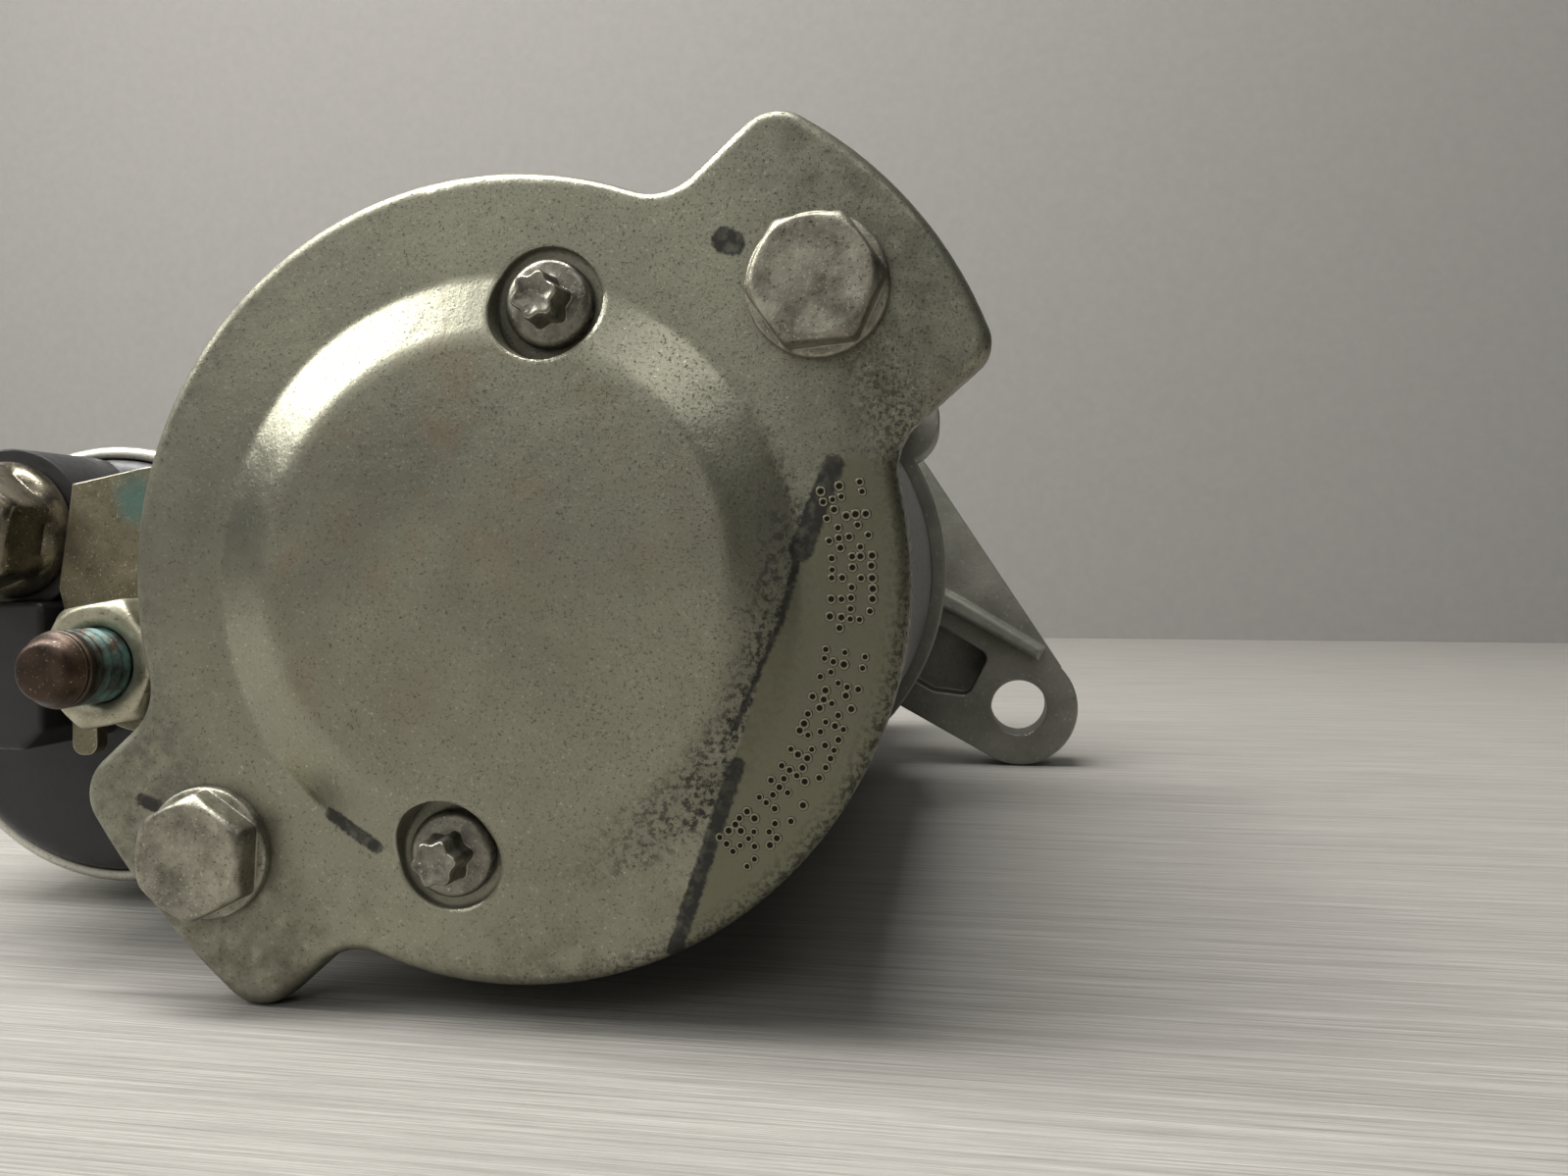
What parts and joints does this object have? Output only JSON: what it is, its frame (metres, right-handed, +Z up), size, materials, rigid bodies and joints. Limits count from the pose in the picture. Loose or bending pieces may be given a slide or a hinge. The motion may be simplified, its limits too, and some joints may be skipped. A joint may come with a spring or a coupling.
{
  "type": "starter motor",
  "caption": "Engine starter motor: round motor body, side solenoid with two terminal studs, cast two-hole flange, open nose with sliding pinion.",
  "frame": {"origin": "centre of the locating spigot at the mounting face of the drive housing", "axes": "+Y along the motor shaft towards the pinion, +X to the right seen from the rear cover, +Z up; the window in the nose opens towards +Z"},
  "size_m": [0.1437, 0.1861, 0.0759],
  "materials": {
    "zinc_cover": "zinc plated pressed steel, aged",
    "seal_rubber": "moulded rubber",
    "zinc_bolt": "zinc plated steel, cold headed",
    "dark_screw": "phosphated steel",
    "bearing_steel": "ground steel",
    "bearing_ball": "polished steel",
    "yoke_paint": "black electrocoat on rolled steel",
    "ferrite": "sintered ferrite",
    "plate_phenolic": "moulded phenolic",
    "brass_sheet": "pressed brass",
    "spring_steel": "drawn wire",
    "sintered_bronze": "sintered bronze",
    "grommet_rubber": "moulded rubber",
    "tinned_strap": "tinned copper, tarnished",
    "bracket_steel": "pressed steel",
    "shaft_steel": "ground steel",
    "lamination_steel": "stacked laminations",
    "copper_wire": "enamelled copper",
    "copper_bar": "turned copper",
    "hub_phenolic": "moulded phenolic",
    "gear_steel": "hardened steel",
    "ring_plastic": "moulded nylon",
    "cast_housing": "die cast aluminium",
    "clutch_steel": "turned steel",
    "lever_nylon": "moulded nylon",
    "solenoid_steel": "zinc plated drawn steel",
    "bobbin_nylon": "moulded nylon",
    "cap_phenolic": "moulded black phenolic",
    "stud_copper": "rolled copper, tarnished",
    "zinc_nut": "zinc plated steel",
    "brassy_nut": "tarnished brass",
    "carbon": "copper graphite"
  },
  "bodies": {
    "root": {"end_cover": "zinc_cover", "cover_seal": "seal_rubber", "through_bolts": "zinc_bolt", "brush_holder_screws": "dark_screw", "rear_bearing_outer": "bearing_steel", "yoke": "yoke_paint", "field_magnets": "ferrite", "brush_plate": "plate_phenolic", "brush_boxes": "brass_sheet", "brush_springs": "spring_steel", "shaft_bushes": "sintered_bronze", "lead_grommet": "grommet_rubber", "motor_lead_strap": "tinned_strap", "centre_bracket": "bracket_steel", "ring_gear": "ring_plastic", "gear_bracket": "bracket_steel", "drive_housing": "cast_housing", "lever_pin": "shaft_steel", "solenoid_case": "solenoid_steel", "solenoid_coil": "copper_wire", "solenoid_bobbin": "bobbin_nylon", "fixed_core": "lamination_steel", "solenoid_cap": "cap_phenolic", "solenoid_screws": "zinc_bolt", "motor_stud": "stud_copper", "battery_stud": "stud_copper", "motor_nut": "zinc_nut", "battery_nut": "brassy_nut", "signal_terminal": "tinned_strap", "return_spring": "spring_steel"},
    "armature": {"armature_shaft": "shaft_steel", "armature_core": "lamination_steel", "armature_windings": "copper_wire", "commutator": "copper_bar", "commutator_hub": "hub_phenolic", "sun_gear": "gear_steel", "rear_bearing_inner": "bearing_steel"},
    "bearing_balls": {"rear_bearing_balls": "bearing_ball"},
    "output": {"planet_carrier": "gear_steel", "planet_pins": "shaft_steel", "output_shaft": "shaft_steel", "stop_collar": "gear_steel", "snap_ring": "spring_steel"},
    "planet_1": {"planet_gear_1": "gear_steel"},
    "planet_2": {"planet_gear_2": "gear_steel"},
    "planet_3": {"planet_gear_3": "gear_steel"},
    "clutch": {"clutch_sleeve": "gear_steel", "clutch_barrel": "clutch_steel", "clutch_rollers": "bearing_ball", "clutch_cover": "bracket_steel"},
    "pinion": {"pinion": "gear_steel"},
    "lever": {"shift_lever": "lever_nylon"},
    "plunger": {"plunger": "lamination_steel", "plunger_hook": "gear_steel"},
    "contact": {"contact_rod": "hub_phenolic", "contact_plate": "copper_bar"},
    "brush_1": {"brush_1": "carbon"},
    "brush_2": {"brush_2": "carbon"},
    "brush_3": {"brush_3": "carbon"},
    "brush_4": {"brush_4": "carbon"}
  },
  "joints": [
    {"name": "armature_spin", "type": "hinge", "parent": "root", "child": "armature", "pos_m": [0, -0.093, 0], "axis": [0, 1, 0], "continuous": true},
    {"name": "bearing_cage_spin", "type": "hinge", "parent": "root", "child": "bearing_balls", "pos_m": [0, -0.1427, 0], "axis": [0, 1, 0], "continuous": true},
    {"name": "output_spin", "type": "hinge", "parent": "root", "child": "output", "pos_m": [0, -0.039, 0], "axis": [0, 1, 0], "continuous": true},
    {"name": "planet_1_spin", "type": "hinge", "parent": "output", "child": "planet_1", "pos_m": [0.015, -0.048, 0], "axis": [0, 1, 0], "continuous": true},
    {"name": "planet_2_spin", "type": "hinge", "parent": "output", "child": "planet_2", "pos_m": [-0.0075, -0.048, 0.01299], "axis": [0, 1, 0], "continuous": true},
    {"name": "planet_3_spin", "type": "hinge", "parent": "output", "child": "planet_3", "pos_m": [-0.0075, -0.048, -0.01299], "axis": [0, 1, 0], "continuous": true},
    {"name": "drive_slide", "type": "slide", "parent": "output", "child": "clutch", "axis": [0, 1, 0], "range_m": [0, 0.01188]},
    {"name": "pinion_overrun", "type": "hinge", "parent": "clutch", "child": "pinion", "pos_m": [0, 0.005, 0], "axis": [0, 1, 0], "continuous": true},
    {"name": "lever_swing", "type": "hinge", "parent": "root", "child": "lever", "pos_m": [-0.03546, -0.02056, -0.00623], "axis": [-0.173, 0, 0.9849], "range_deg": [0, 19]},
    {"name": "plunger_slide", "type": "slide", "parent": "root", "child": "plunger", "axis": [0, -1, 0], "range_m": [0, 0.00739], "stiffness_N_per_m": 500, "springref_m": -0.012, "deforming": ["return_spring"]},
    {"name": "contact_slide", "type": "slide", "parent": "root", "child": "contact", "axis": [0, -1, 0], "range_m": [0, 0.0024]},
    {"name": "brush_1_slide", "type": "slide", "parent": "root", "child": "brush_1", "axis": [0.8271, 0, 0.5621], "range_m": [0, 0.001], "stiffness_N_per_m": 1200, "springref_m": -0.002, "deforming": ["brush_springs"]},
    {"name": "brush_2_slide", "type": "slide", "parent": "root", "child": "brush_2", "axis": [-0.5621, 0, 0.8271], "range_m": [0, 0.001], "stiffness_N_per_m": 1200, "springref_m": -0.002, "deforming": ["brush_springs"]},
    {"name": "brush_3_slide", "type": "slide", "parent": "root", "child": "brush_3", "axis": [-0.8271, 0, -0.5621], "range_m": [0, 0.001], "stiffness_N_per_m": 1200, "springref_m": -0.002, "deforming": ["brush_springs"]},
    {"name": "brush_4_slide", "type": "slide", "parent": "root", "child": "brush_4", "axis": [0.5621, 0, -0.8271], "range_m": [0, 0.001], "stiffness_N_per_m": 1200, "springref_m": -0.002, "deforming": ["brush_springs"]}
  ],
  "couplings": [
    {"joint": "bearing_cage_spin", "follows": "armature_spin", "ratio": 0.37},
    {"joint": "output_spin", "follows": "armature_spin", "ratio": 0.2},
    {"joint": "planet_1_spin", "follows": "armature_spin", "ratio": -0.53333},
    {"joint": "planet_2_spin", "follows": "armature_spin", "ratio": -0.53333},
    {"joint": "planet_3_spin", "follows": "armature_spin", "ratio": -0.53333},
    {"joint": "lever_swing", "follows": "plunger_slide", "rad_per_m": 44.887},
    {"joint": "drive_slide", "follows": "plunger_slide", "ratio": 1.6085},
    {"joint": "contact_slide", "follows": "plunger_slide", "ratio": 0.32483}
  ]
}
